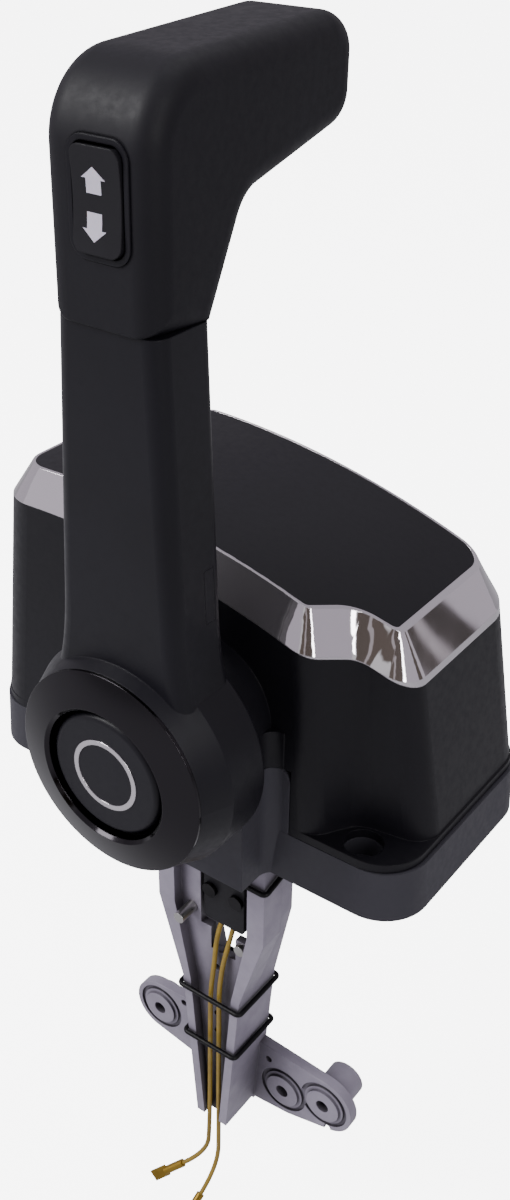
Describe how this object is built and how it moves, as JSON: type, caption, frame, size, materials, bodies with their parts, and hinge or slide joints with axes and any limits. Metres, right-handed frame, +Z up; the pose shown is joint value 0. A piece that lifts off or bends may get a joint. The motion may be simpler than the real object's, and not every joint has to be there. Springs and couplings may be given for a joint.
{
  "type": "boat throttle control lever",
  "caption": "Top-mount single-lever boat engine control with trim rocker, neutral switch, shift and throttle arms and a cable anchor frame below the deck.",
  "frame": {"origin": "centre of the base's footprint on its underside, on the deck", "axes": "+X along the base towards the housing's low end, +Z up from the deck, the lever on the -Y side; the lever axis is parallel to Y"},
  "size_m": [0.171, 0.132, 0.4383],
  "materials": {
    "grey_plastic": "moulded, fine grain",
    "black_plastic": "moulded, fine grain",
    "grip_rubber": "soft touch",
    "chrome": "plated on plastic",
    "dark_chrome": "plated on plastic",
    "cast_aluminium": "die-cast, light grey paint",
    "steel": "bright",
    "zinc_plate": "zinc plated",
    "spring_steel": "bright",
    "bronze": "sintered",
    "brass": "tinned",
    "rubber": "moulded",
    "switch_plastic": "moulded",
    "tie_nylon": "nylon",
    "lead_insulation": "extruded insulation"
  },
  "bodies": {
    "base": {"base_frame": "grey_plastic", "housing_cover": "black_plastic", "chrome_trim": "chrome", "top_cover": "black_plastic", "shaft_seal": "rubber", "control_frame": "cast_aluminium", "frame_screws": "steel", "rear_plate": "zinc_plate", "plate_pillars": "steel", "plate_screws": "steel", "front_bush": "bronze", "rear_bush": "bronze", "end_bush": "bronze", "pivot_pin": "steel", "neutral_switch": "switch_plastic", "switch_screws": "steel", "detent_spring": "spring_steel", "detent_screw": "steel", "friction_pad": "rubber", "friction_screw": "steel", "harness_pins": "steel", "cable_tie_top": "tie_nylon", "cable_tie_mid": "tie_nylon", "cable_tie_low": "tie_nylon", "lead_a": "lead_insulation", "lead_b": "lead_insulation", "lead_terminal_a": "brass", "lead_terminal_b": "brass"},
    "lever": {"lever_arm": "black_plastic", "grip_cover": "grip_rubber", "hub_bezel": "dark_chrome", "rocker_frame": "black_plastic", "wire_cover": "black_plastic", "button_spring": "spring_steel", "lever_clip": "spring_steel", "lever_set_screw": "steel", "main_shaft": "steel", "shaft_clip": "spring_steel", "drive_gear": "steel", "detent_wheel": "zinc_plate"},
    "button": {"throttle_only_button": "black_plastic", "button_inlay": "chrome", "push_rod": "steel"},
    "trim": {"trim_rocker": "switch_plastic"},
    "shift": {"shift_arm": "zinc_plate", "shift_cable_pin": "steel", "neutral_cam": "switch_plastic"},
    "throttle": {"throttle_arm": "zinc_plate", "throttle_cable_pin": "steel"},
    "plunger": {"switch_plunger": "steel"}
  },
  "joints": [
    {"name": "lever_swing", "type": "hinge", "parent": "base", "child": "lever", "pos_m": [0.012, -0.07, 0.0555], "axis": [0, 1, 0], "range_deg": [-75, 75], "deforming": ["detent_spring"]},
    {"name": "button_press", "type": "slide", "parent": "lever", "child": "button", "axis": [0, 1, 0], "range_m": [0, 0.004], "stiffness_N_per_m": 900, "springref_m": -0.003, "deforming": ["button_spring"]},
    {"name": "trim_rock", "type": "hinge", "parent": "lever", "child": "trim", "pos_m": [0.01547, -0.0792, 0.21647], "axis": [0.9999, 0, -0.0122], "range_deg": [-5, 5], "stiffness_Nm_per_rad": 0.4},
    {"name": "shift_swing", "type": "hinge", "parent": "base", "child": "shift", "pos_m": [0.012, -0.0135, 0.0015], "axis": [0, 1, 0], "range_deg": [-37.5, 37.5]},
    {"name": "throttle_swing", "type": "hinge", "parent": "base", "child": "throttle", "pos_m": [0.012, -0.0075, 0.0015], "axis": [0, 1, 0], "range_deg": [-37.5, 37.5]},
    {"name": "plunger_press", "type": "slide", "parent": "base", "child": "plunger", "axis": [0, 0, -1], "range_m": [0, 0.001], "stiffness_N_per_m": 300, "springref_m": -0.001}
  ],
  "couplings": [
    {"joint": "shift_swing", "follows": "lever_swing", "ratio": -0.5},
    {"joint": "throttle_swing", "follows": "lever_swing", "ratio": -0.5}
  ]
}
